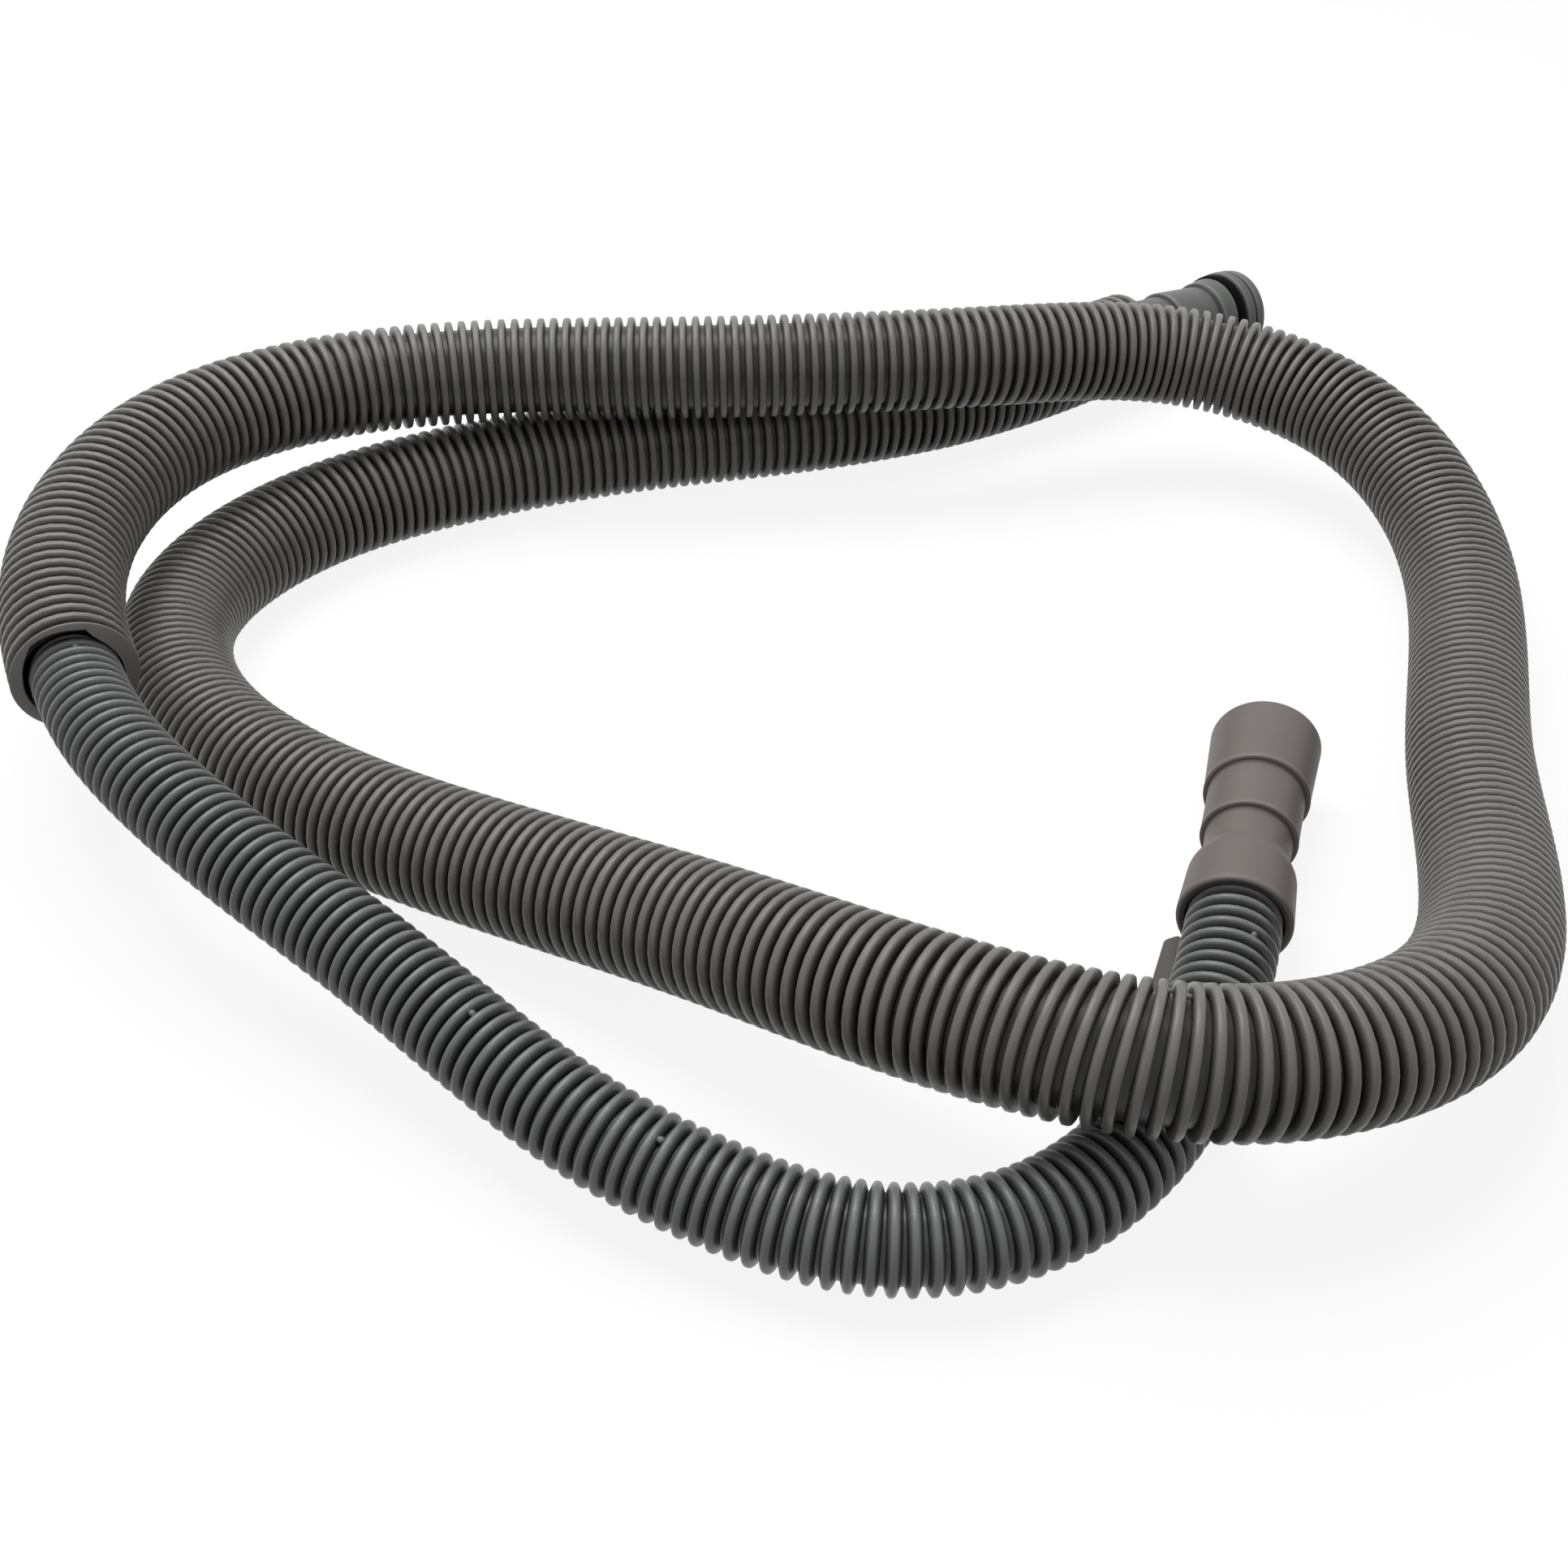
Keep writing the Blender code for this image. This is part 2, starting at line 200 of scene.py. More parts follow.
# The lengths of the rib crests, a pitch apart, with the small unevenness of a moulded tube
def ribPlaces(setup, start, end):
    dice = random.Random(setup["seed"])
    marks = [lengthAtPoint(i) for i, _ in setup["pitch"]]
    sizes = [pitch * mm for _, pitch in setup["pitch"]]
    places = [start]
    while places[-1] < end:
        pitch = np.interp(places[-1], marks, sizes)
        places.append(places[-1] + pitch * (1 + dice.uniform(-setup["uneven"], setup["uneven"])))
    stretch = (end - start) / (places[-1] - start)
    return [start + (place - start) * stretch for place in places]


# How far the guide runs on past the first and the last crest: a whole rib's width
def guidePast(setup):
    return 2 * setup["ribFoot"]


# A line with one point for each rib, whose radius there is the rib's, and a point past each end
def guideCurve(name, places, setup):
    marks = [places[0] - guidePast(setup), *places, places[-1] + guidePast(setup)]
    data = bpy.data.curves.new(name, "CURVE")
    data.dimensions = "3D"
    spline = data.splines.new("POLY")
    spline.points.add(len(marks) - 1)
    for point, length in zip(spline.points, marks):
        radius = radiusAt(setup, length)
        inner = min(max(length, mm), routeLength - mm)
        centre, tangent, _, _ = routeFrame(inner, radius)
        point.co = (*(centre + tangent * (length - inner)), 1)
        point.radius = radius
    item = bpy.data.objects.new(name, data)
    bpy.context.collection.objects.link(item)
    return item


# Short ways of adding nodes, in geometry and shader trees alike
def wire(tree, socket, value):
    if isinstance(value, bpy.types.NodeSocket):
        tree.links.new(value, socket)
    else:
        socket.default_value = value


def addNode(tree, kind, settings=(), inputs=()):
    node = tree.nodes.new(kind)
    for key, value in dict(settings).items():
        setattr(node, key, value)
    for key, value in dict(inputs).items():
        wire(tree, node.inputs[key], value)
    return node


def reckon(tree, operation, *values):
    node = addNode(tree, "ShaderNodeMath", {"operation": operation}, dict(enumerate(values)))
    return node.outputs[0]


def vectorReckon(tree, operation, *values):
    node = addNode(tree, "ShaderNodeVectorMath", {"operation": operation})
    for i, value in enumerate(values):
        isFactor = operation == "SCALE" and i == 1
        wire(tree, node.inputs["Scale" if isFactor else i], value)
    return node.outputs[0]


weldDistance = 0.005 * mm  # joins the first and the last rows and columns of a tube


# A corrugated tube round a guide line that has one point for each rib
def ribbedTubeTree():
    tree = bpy.data.node_groups.new("ribbedTube", "GeometryNodeTree")
    tree.interface.new_socket("Geometry", in_out="INPUT", socket_type="NodeSocketGeometry")
    tree.interface.new_socket("Geometry", in_out="OUTPUT", socket_type="NodeSocketGeometry")
    for name in ("Sides", "Rows per Rib", "Fine Ribs", "Bore Rows"):
        tree.interface.new_socket(name, in_out="INPUT", socket_type="NodeSocketInt")
    for name in ("Rib Depth", "Rib Foot", "Flank", "Round", "Drop", "Bore Radius", "Lean", "Lean Middle",
                 "Lean Reach"):
        tree.interface.new_socket(name, in_out="INPUT", socket_type="NodeSocketFloat")
    tree.interface.new_socket("Material", in_out="INPUT", socket_type="NodeSocketMaterial")
    given = tree.nodes.new("NodeGroupInput").outputs
    done = tree.nodes.new("NodeGroupOutput")

    def calc(operation, *values):
        return reckon(tree, operation, *values)

    def vectorCalc(operation, *values):
        return vectorReckon(tree, operation, *values)

    def atRib(value, rib):
        node = addNode(tree, "GeometryNodeSampleIndex", {"data_type": "FLOAT", "domain": "POINT"},
                       {"Geometry": guide, "Index": rib})
        wire(tree, node.inputs["Value"], value)
        return node.outputs[0]

    level = addNode(tree, "GeometryNodeSetCurveNormal", {"mode": "Z_UP"}, {"Curve": given["Geometry"]})
    guide = level.outputs[0]
    size = addNode(tree, "GeometryNodeAttributeDomainSize", {"component": "CURVE"}, {"Geometry": guide})
    along = tree.nodes.new("GeometryNodeSplineParameter").outputs["Length"]
    width = tree.nodes.new("GeometryNodeInputRadius").outputs[0]

    # Rows of the grid: out along the ribs, back along the bore, and the first row again
    perRib = given["Rows per Rib"]
    ribs = calc("SUBTRACT", size.outputs["Point Count"], 2)
    fineRows = calc("MULTIPLY", given["Fine Ribs"], perRib)
    plainRows = calc("MULTIPLY", calc("SUBTRACT", ribs, given["Fine Ribs"]), 2)
    outerRows = calc("ADD", fineRows, plainRows)
    rows = calc("ADD", outerRows, given["Bore Rows"])
    columns = calc("ADD", given["Sides"], 1)
    grid = addNode(tree, "GeometryNodeMeshGrid", (), {
        "Vertices X": calc("ADD", rows, 1), "Vertices Y": columns})

    index = tree.nodes.new("GeometryNodeInputIndex").outputs[0]
    gridRow = calc("FLOOR", calc("DIVIDE", calc("ADD", index, 0.5), columns))
    column = calc("SUBTRACT", index, calc("MULTIPLY", gridRow, columns))
    row = calc("FLOORED_MODULO", gridRow, rows)
    isOuter = calc("LESS_THAN", row, outerRows)

    # Outside: rows round each crest, or only a foot and a crest where the ribs are plainer
    skipped = calc("MULTIPLY", calc("SUBTRACT", calc("DIVIDE", perRib, 2), 1),
                   calc("MAXIMUM", calc("SUBTRACT", row, fineRows), 0))
    step = calc("ADD", row, skipped)
    rib = calc("FLOOR", calc("DIVIDE", calc("ADD", step, 0.5), perRib))
    inRib = calc("SUBTRACT", step, calc("MULTIPLY", rib, perRib))
    middle = calc("DIVIDE", calc("SUBTRACT", perRib, 1), 2)
    side = calc("DIVIDE", calc("SUBTRACT", inRib, middle), middle)
    reach = calc("MINIMUM", calc("ABSOLUTE", side), 1)
    spread = calc("MULTIPLY", calc("SIGN", side), calc("POWER", reach, given["Flank"]))
    rise = calc("POWER", calc("SUBTRACT", 1, calc("POWER", reach, given["Round"])), given["Drop"])
    ribPoint = calc("ADD", calc("MINIMUM", rib, calc("SUBTRACT", ribs, 1)), 1)
    sink = calc("MULTIPLY", given["Rib Depth"], calc("SUBTRACT", 1, rise))
    outerRadius = calc("SUBTRACT", atRib(width, ribPoint), sink)

    # Inside: a plain bore from the last rib's foot back to the first one's
    back = calc("DIVIDE", calc("SUBTRACT", row, outerRows), calc("SUBTRACT", given["Bore Rows"], 1))
    boreStart = calc("SUBTRACT", atRib(along, 1), given["Rib Foot"])
    boreEnd = calc("ADD", atRib(along, ribs), given["Rib Foot"])
    boreLength = calc("MULTIPLY_ADD", calc("SUBTRACT", boreStart, boreEnd), back, boreEnd)

    def choose(outer, inner):
        node = addNode(tree, "GeometryNodeSwitch", {"input_type": "FLOAT"},
                       {"Switch": isOuter, "False": inner, "True": outer})
        return node.outputs[0]

    angle = calc("MULTIPLY", calc("DIVIDE", column, given["Sides"]), math.tau)
    cosine, sine = calc("COSINE", angle), calc("SINE", angle)

    # A rib stays flat and as thick in a bend, so that only the gaps open and close
    place = atRib(along, ribPoint)
    off = calc("DIVIDE", calc("SUBTRACT", place, given["Lean Middle"]), given["Lean Reach"])
    fade = calc("EXPONENT", calc("MULTIPLY", calc("MULTIPLY", off, off), -1))
    lean = calc("MULTIPLY", given["Lean"], fade)
    leaned = calc("MULTIPLY", calc("MULTIPLY", lean, cosine), atRib(width, ribPoint))
    length = choose(place, boreLength)
    shift = choose(calc("SUBTRACT", calc("MULTIPLY", spread, given["Rib Foot"]), leaned), 0)
    radius = choose(outerRadius, given["Bore Radius"])
    crest = choose(rise, 0)

    line = addNode(tree, "GeometryNodeSampleCurve", {"mode": "LENGTH", "use_all_curves": True},
                   {"Curves": guide, "Length": length}).outputs
    upward = vectorCalc("CROSS_PRODUCT", line["Normal"], line["Tangent"])
    arm = vectorCalc("ADD", vectorCalc("SCALE", line["Normal"], cosine), vectorCalc("SCALE", upward, sine))
    centre = vectorCalc("ADD", line["Position"], vectorCalc("SCALE", line["Tangent"], shift))
    spot = vectorCalc("ADD", centre, vectorCalc("SCALE", arm, radius))
    wayRound = addNode(tree, "ShaderNodeCombineXYZ", (), {
        "X": cosine, "Y": sine, "Z": calc("ADD", length, shift)}).outputs[0]

    # The grid is rolled up, closed and given what the materials read
    mesh = grid.outputs["Mesh"]
    for kind, settings, inputs in (
        ("StoreNamedAttribute", {"data_type": "FLOAT"}, {"Name": "ribCrest", "Value": crest}),
        ("StoreNamedAttribute", {"data_type": "FLOAT_VECTOR"}, {"Name": "wayRound", "Value": wayRound}),
        ("SetPosition", {}, {"Position": spot}),
        ("MergeByDistance", {}, {"Distance": weldDistance}),
        ("SetShadeSmooth", {}, {}),
        ("RealizeInstances", {}, {}),
        ("SetMaterial", {}, {"Material": given["Material"]}),
    ):
        mesh = addNode(tree, "GeometryNode" + kind, settings, {"Geometry": mesh, **inputs}).outputs[0]
    wire(tree, done.inputs["Geometry"], mesh)
    return tree


# Runs a tree on a guide and keeps the result as a plain mesh object
def meshFromTree(guide, tree, values, name):
    modifier = guide.modifiers.new(name, "NODES")
    modifier.node_group = tree
    for item in tree.interface.items_tree:
        if item.in_out == "INPUT" and item.name in values:
            modifier[item.identifier] = values[item.name]
    graph = bpy.context.evaluated_depsgraph_get()
    mesh = bpy.data.meshes.new_from_object(guide.evaluated_get(graph), depsgraph=graph)
    guide.modifiers.remove(modifier)
    bpy.data.objects.remove(guide)
    mesh.name = name
    piece = bpy.data.objects.new(name, mesh)
    bpy.context.collection.objects.link(piece)
    return piece


# A corrugated piece with a crest at each place, whose ribs are plainer past the fine ones
def ribbedTube(name, setup, places, fineRibs, material):
    lean = setup["lean"]
    piece = meshFromTree(guideCurve(name + "Guide", places, setup), ribbedTubeTree(), {
        "Sides": setup["sides"], "Rows per Rib": setup["rowsPerRib"], "Fine Ribs": fineRibs,
        "Bore Rows": setup["boreRows"], "Rib Depth": setup["ribDepth"], "Rib Foot": setup["ribFoot"],
        "Flank": setup["flank"], "Round": setup["round"], "Drop": setup["drop"], "Bore Radius": setup["bore"],
        "Lean": lean["slope"], "Lean Middle": lean["middle"] - places[0] + guidePast(setup),
        "Lean Reach": lean["reach"], "Material": material,
    }, name)
    piece.data.set_sharp_from_angle(angle=math.radians(setup["sharpOver"]))
    print(name, len(places), "ribs", sum(len(p.vertices) - 2 for p in piece.data.polygons), "triangles")
    return piece


# Materials: 8-bit sRGB to the linear colour that a shader takes
def linear(colour):
    return (*(((c / 255 + 0.055) / 1.055) ** 2.4 for c in colour), 1)


def shaderGroup(name, inputs, outputs):
    tree = bpy.data.node_groups.new(name, "ShaderNodeTree")
    for title, value in inputs.items():
        socket = tree.interface.new_socket(title, in_out="INPUT", socket_type="NodeSocketFloat")
        socket.default_value = value
    for title, kind in outputs.items():
        tree.interface.new_socket(title, in_out="OUTPUT", socket_type=kind)
    return tree, tree.nodes.new("NodeGroupInput").outputs, tree.nodes.new("NodeGroupOutput").inputs


def noise(tree, vector, scale, detail):
    node = addNode(tree, "ShaderNodeTexNoise", (), {"Vector": vector, "Scale": scale, "Detail": detail})
    return node.outputs[0]


def mapRange(tree, value, source, target=(0, 1), clamp=True):
    node = addNode(tree, "ShaderNodeMapRange", {"clamp": clamp}, {
        "Value": value, "From Min": source[0], "From Max": source[1],
        "To Min": target[0], "To Max": target[1]})
    return node.outputs[0]


nowhere = 99  # a length in metres past the end of any tube
grainShare = 0.35  # of the tone; the clouds have the rest
grainDepth = 0.1 * mm


# Soft cloudiness of the plastic and the fine grain of its mould
def mouldedGrainGroup():
    tree, given, made = shaderGroup(
        "mouldedGrain", {"Cloud Scale": 70, "Grain Scale": 2600, "Grain Height": 0.2},
        {"Tone": "NodeSocketFloat", "Normal": "NodeSocketVector"})
    spot = tree.nodes.new("ShaderNodeTexCoord").outputs["Object"]
    cloud = noise(tree, spot, given["Cloud Scale"], 3)
    grain = noise(tree, spot, given["Grain Scale"], 2)
    clouds = reckon(tree, "MULTIPLY", cloud, 1 - grainShare)
    wire(tree, made["Tone"], reckon(tree, "MULTIPLY_ADD", grain, grainShare, clouds))
    bump = addNode(tree, "ShaderNodeBump", (), {
        "Strength": given["Grain Height"], "Distance": grainDepth, "Height": grain})
    wire(tree, made["Normal"], bump.outputs[0])
    return tree


# What a user would change on the ribs' painted shade; a rib rises from 0 on the valley floor to 1 on its
# crest
ribToneSetup = {
    "crest": (0.08, 0.95),  # rise at which the painted shade of the valley begins to fade, and at which it is gone
    "floor": 0.12,  # rise up to which the valley floor has less painted shade, so that it reads lit
    "streakScale": (1.5, 1.5, 2200),  # two ways across and along
    "seam": (0.12, 0.3),  # half the seam's width in mm, without and with its soft edge
}


# Painted shade: the lower on a rib, the more of the dark valley colour, with the crests a little lighter and
# a lighter valley floor; also streaks round each rib and the line where the mould halves met
def ribToneGroup(setup):
    tree, given, made = shaderGroup(
        "ribTone", {"Floor": 0.4, "Streaks": 0.3, "Seam": 0.3, "Shade Painted From": nowhere},
        {"Tone": "NodeSocketFloat"})
    crest = addNode(tree, "ShaderNodeAttribute", {"attribute_name": "ribCrest"}).outputs["Fac"]
    way = addNode(tree, "ShaderNodeAttribute", {"attribute_name": "wayRound"}).outputs["Vector"]
    seam = addNode(tree, "ShaderNodeAttribute", {"attribute_name": "seam"}).outputs["Fac"]
    lines = noise(tree, vectorReckon(tree, "MULTIPLY", way, setup["streakScale"]), 1, 2)
    # painted shade: low on the rib the tone falls towards 0, the near-black valley colour
    height = mapRange(tree, crest, setup["crest"], clamp=False)
    floor = mapRange(tree, crest, (0, setup["floor"]), (given["Floor"], 0))
    length = addNode(tree, "ShaderNodeSeparateXYZ", (), {0: way}).outputs["Z"]
    # painted shade: past this length the whole tone is 0, the valley colour
    beforePaintedShade = reckon(tree, "LESS_THAN", length, given["Shade Painted From"])
    uneven = reckon(tree, "MULTIPLY", reckon(tree, "SUBTRACT", lines, 0.5), given["Streaks"])
    onSeam = mapRange(tree, reckon(tree, "ABSOLUTE", seam), setup["seam"], (1, 0))
    tone = reckon(tree, "ADD", reckon(tree, "MAXIMUM", height, floor), uneven)
    tone = reckon(tree, "MULTIPLY_ADD", onSeam, given["Seam"], tone)
    wire(tree, made["Tone"], reckon(tree, "MULTIPLY", reckon(tree, "MAXIMUM", tone, 0), beforePaintedShade))
    return tree


# Painted shade in the roots and painted highlights on the edges of a turned piece's steps
def stepToneGroup():
    tree, given, made = shaderGroup("paintedStepLight", {"Painted Shade": 0.5, "Painted Highlight": 0.5},
                                    {"Painted Shade": "NodeSocketFloat", "Painted Highlight": "NodeSocketFloat"})
    tone = addNode(tree, "ShaderNodeAttribute", {"attribute_name": "paintedStepLight"}).outputs["Fac"]
    withShadePainted = reckon(tree, "MAXIMUM", reckon(tree, "MULTIPLY", tone, -1), 0)
    wire(tree, made["Painted Shade"], reckon(tree, "MULTIPLY", withShadePainted, given["Painted Shade"]))
    wire(tree, made["Painted Highlight"], reckon(tree, "MULTIPLY", reckon(tree, "MAXIMUM", tone, 0), given["Painted Highlight"]))
    return tree


grainGroup = mouldedGrainGroup()
ribGroup = ribToneGroup(ribToneSetup)
stepGroup = stepToneGroup()
toneRange = (0.3, 0.7)  # most of the grain's tones
roughSpread = 0.05  # how far they take the roughness either way


# A moulded plastic or rubber, with the painted shade and highlights of a corrugated tube or of a stepped
# piece
def mouldedPlastic(name, look):
    material = bpy.data.materials.new(name)
    material.use_nodes = True
    tree = material.node_tree
    shader = tree.nodes["Principled BSDF"]
    grain = addNode(tree, "ShaderNodeGroup", {"node_tree": grainGroup}, {
        "Cloud Scale": look["cloud"], "Grain Height": look["grain"]}).outputs

    def blend(factor, first, second):
        return addNode(tree, "ShaderNodeMix", {"data_type": "RGBA", "clamp_factor": False}, {
            0: factor, 6: first, 7: second}).outputs[2]

    base = blend(grain["Tone"], linear(look["dark"]), linear(look["light"]))
    # painted shade in the valleys and on the lower flanks: the valley colour is mixed in where the rib tone
    # is low
    if "valley" in look:
        tone = addNode(tree, "ShaderNodeGroup", {"node_tree": ribGroup}, {
            "Floor": look["floor"], "Streaks": look["streaks"], "Seam": look["seam"],
            "Shade Painted From": look["shadePaintedFrom"]}).outputs["Tone"]
        base = blend(tone, linear(look["valley"]), base)
    # painted shade in the steps' roots and grooves, painted highlights on their rims
    if "root" in look:
        masks = addNode(tree, "ShaderNodeGroup", {"node_tree": stepGroup}, {
            "Painted Shade": look["rootDepth"], "Painted Highlight": look["paintedHighlightDepth"]}).outputs
        withShadePainted = blend(masks["Painted Shade"], base, linear(look["root"]))
        base = blend(masks["Painted Highlight"], withShadePainted, linear(look["edge"]))
    wire(tree, shader.inputs["Base Color"], base)
    roughRange = (look["roughness"] - roughSpread, look["roughness"] + roughSpread)
    wire(tree, shader.inputs["Roughness"], mapRange(tree, grain["Tone"], toneRange, roughRange))
    wire(tree, shader.inputs["Normal"], grain["Normal"])
    shader.inputs["Specular IOR Level"].default_value = look["shine"]
    return material


# What a user would change on the plastics: colours in 8-bit sRGB
looks = {
    "hose": {
        "dark": (112, 113, 113), "light": (137, 138, 138), "cloud": 90, "grain": 0.04,
        "roughness": 0.33, "shine": 0.4,
        # valley: near-black painted shade for the valleys and lower flanks
        "valley": (16, 16, 16), "floor": 0.25, "streaks": 0.3, "seam": 0.12,
        "shadePaintedFrom": lengthAtPoint(sleeveSetup["from"]) + 3.6 * mm,  # painted shade over the hose inside the sleeve
    },
    "sleeve": {
        "dark": (114, 112, 109), "light": (141, 139, 137), "cloud": 60, "grain": 0.04,
        "roughness": 0.36, "shine": 0.32,
        # valley: near-black painted shade for the valleys and lower flanks
        "valley": (10, 9, 8), "floor": 0.2, "streaks": 0.35, "seam": 0.0, "shadePaintedFrom": nowhere,
    },
    "cuff": {
        "dark": (117, 108, 105), "light": (129, 120, 117), "cloud": 80, "grain": 0.06,
        "roughness": 0.5, "shine": 0.35,
        # root: painted shade for roots, grooves and the sockets; edge: painted highlight for rims
        "root": (62, 56, 54), "rootDepth": 0.75, "edge": (150, 141, 138), "paintedHighlightDepth": 0.5,
    },
    "connector": {
        "dark": (98, 100, 98), "light": (110, 112, 110), "cloud": 80, "grain": 0.06,
        "roughness": 0.45, "shine": 0.35,
        # root: painted shade for roots and grooves; edge: painted highlight for rims
        "root": (30, 30, 29), "rootDepth": 0.85, "edge": (150, 152, 150), "paintedHighlightDepth": 0.6,
    },
    "seal": {
        "dark": (7, 7, 7), "light": (12, 12, 12), "cloud": 120, "grain": 0.06,
        "roughness": 0.75, "shine": 0.06,
    },
    "tab": {
        "dark": (98, 93, 90), "light": (108, 102, 99), "cloud": 80, "grain": 0.06,
        "roughness": 0.5, "shine": 0.35,
    },
}
hosePlastic = mouldedPlastic("hosePlastic", looks["hose"])
sleevePlastic = mouldedPlastic("sleevePlastic", looks["sleeve"])
cuffPlastic = mouldedPlastic("cuffPlastic", looks["cuff"])
connectorPlastic = mouldedPlastic("connectorPlastic", looks["connector"])
sealRubber = mouldedPlastic("sealRubber", looks["seal"])
tabPlastic = mouldedPlastic("tabPlastic", looks["tab"])
print("materials made")


# The hose and the sleeve
hosePlaces = ribPlaces(hoseSetup, hoseSetup["ends"][0], routeLength - hoseSetup["ends"][1])
hoseFine = len([place for place in hosePlaces if place < lengthAtPoint(hoseSetup["fineUntil"])])
hose = ribbedTube("drain_hose_ribbed", hoseSetup, hosePlaces, hoseFine, hosePlastic)

sleeveStart, sleeveEnd = (lengthAtPoint(sleeveSetup[key]) for key in ("from", "to"))
cutCrest = sleeveStart + sleeveSetup["firstCrest"]
sleevePlaces = ribPlaces(sleeveSetup, cutCrest, sleeveEnd + sleeveSetup["overlap"])[1:]
sleeve = ribbedTube("outer_sleeve_ribbed", sleeveSetup, sleevePlaces, len(sleevePlaces), sleevePlastic)


pointGap = 0.001 * mm  # points closer than this are one


def newPiece(name, vertices, faces, material):
    data = bpy.data.meshes.new(name)
    data.from_pydata([tuple(v) for v in vertices], [], faces)
    mesh = bmesh.new()
    mesh.from_mesh(data)
    bmesh.ops.remove_doubles(mesh, verts=mesh.verts, dist=pointGap)
    bmesh.ops.recalc_face_normals(mesh, faces=mesh.faces)
    mesh.to_mesh(data)
    mesh.free()
    data.shade_smooth()
    data.materials.append(material)
    piece = bpy.data.objects.new(name, data)
    bpy.context.collection.objects.link(piece)
    return piece


# Faces between rings of points, the last of which meets the first
def ringFaces(count, steps):
    faces = []
    for i in range(count):
        for k in range(steps):
            j, n = (i + 1) % count, (k + 1) % steps
            faces.append((i * steps + k, i * steps + n, j * steps + n, j * steps + k))
    return faces


def setFloats(piece, name, values):
    attribute = piece.data.attributes.new(name, "FLOAT", "POINT")
    attribute.data.foreach_set("value", np.asarray(values, dtype=np.float32))


def joinTo(piece, *others):
    chosen = [piece, *others]
    with bpy.context.temp_override(active_object=piece, object=piece, selected_objects=chosen,
                                   selected_editable_objects=chosen):
        bpy.ops.object.join()


# What a user would change on the sleeve's cut end, in mm
cutSetup = {
    "wall": 0.45,
    "reach": 3.6,  # from its crest to its back end, which the next rib hides
    "shoulder": (-0.35, 0.25),  # where the cut flank begins, along from the crest and down from it
    "flank": 0.85,  # how far the flank would come forward down to the valley floor
    # degrees round the tube from its right side over the top, radius of the cut edge
    "edge": [(-180, 12.9), (-150, 12.9), (-60, 12.7), (-25, 12.4), (0, 12.0), (30, 12.0), (50, 12.4),
             (60, 13.0), (65, 13.6), (68, 14.4), (80, 14.2), (98, 14.5), (112, 14.7), (125, 14.9),
             (135, 14.2), (150, 13.5), (165, 13.0), (180, 12.9)],
    "tones": (1.15, 1.7),  # painted highlights: tones of the flank and of the cut edge, where a crest has 1
    "sharpOver": 45,
    "steps": 120,
}


# The sleeve's first rib, cut through its flank and hollow behind the cut
def cutRib(setup):
    crest = radiusAt(sleeveSetup, cutCrest) / mm
    floor = crest - sleeveSetup["ribDepth"] / mm
    bore = sleeveSetup["bore"] / mm
    wall, reach, steps = setup["wall"], setup["reach"], setup["steps"]
    shoulderAt, shoulder = setup["shoulder"][0], crest - setup["shoulder"][1]
    flankHighlight, cutEdgeHighlight = setup["tones"]
    centre, tangent, side, up = routeFrame(cutCrest, crest * mm)
    points, tones = [], []
    for k in range(steps):
        turn = 360 * k / steps - 180
        cut = np.interp(turn, *zip(*setup["edge"]))
        edgeAt = shoulderAt - setup["flank"] * (shoulder - cut) / (shoulder - floor)
        # Place along, radius and tone of each point; tones under 1 paint shade towards the valley colour, on
        # the back and the inside, and tones over 1 paint highlights, on the flank and the cut edge
        back = [(reach, floor - 0.05, 0), (1.3, floor, 0), (1.15, floor + 0.4, 0.15), (0.9, crest - 1.2, 0.6),
                (0.65, crest - 0.4, 0.95)]
        top = [(0.3, crest - 0.04, 1), (0, crest, 1), (-0.2, crest - 0.06, 1.1)]
        flank = [(shoulderAt, shoulder, flankHighlight), (edgeAt + 0.04, cut + 0.12, flankHighlight)]
        edge = [(edgeAt, cut, cutEdgeHighlight), (edgeAt + 0.1, cut - wall * 0.6, cutEdgeHighlight),
                (edgeAt + 0.25, cut - wall * 0.9, 0.3)]
        inside = [(-0.05, shoulder - wall, 0.1), (0.35, crest - 1.0, 0), (0.8, bore + 0.2, 0),
                  (reach, bore, 0)]
        outline = back + top + flank + edge + inside
        angle = math.radians(turn)
        arm = math.cos(angle) * side + math.sin(angle) * up
        points.append([centre + tangent * along * mm + arm * radius * mm for along, radius, _ in outline])
        tones.append([tone for *_, tone in outline])
    count = len(points[0])
    vertices = [points[k][i] for i in range(count) for k in range(steps)]
    rim = newPiece("cutRib", vertices, ringFaces(count, steps), sleevePlastic)
    rim.data.set_sharp_from_angle(angle=math.radians(setup["sharpOver"]))
    # the painted shade and painted highlights go where the material reads rib height
    setFloats(rim, "ribCrest", [tones[k][i] for i in range(count) for k in range(steps)])
    return rim


# Small lumps in the valleys where the mould halves met: route length in mm, degrees round the tube
lumpSetup = {
    "hose": [(19.5, 117), (195, 96), (246, 93), (398.5, 81)],
    "sleeve": [(1301.5, 78), (1305.5, 72)],
    "size": (0.95, 0.8, 0.6),  # half of it, along, across and up in mm
    "sunk": 0.9,  # depth of its middle below the crests in mm
    "tone": 0.8,  # where a crest has 1
}
midRib = 1.2  # radius half way up a rib, in radii of the bore


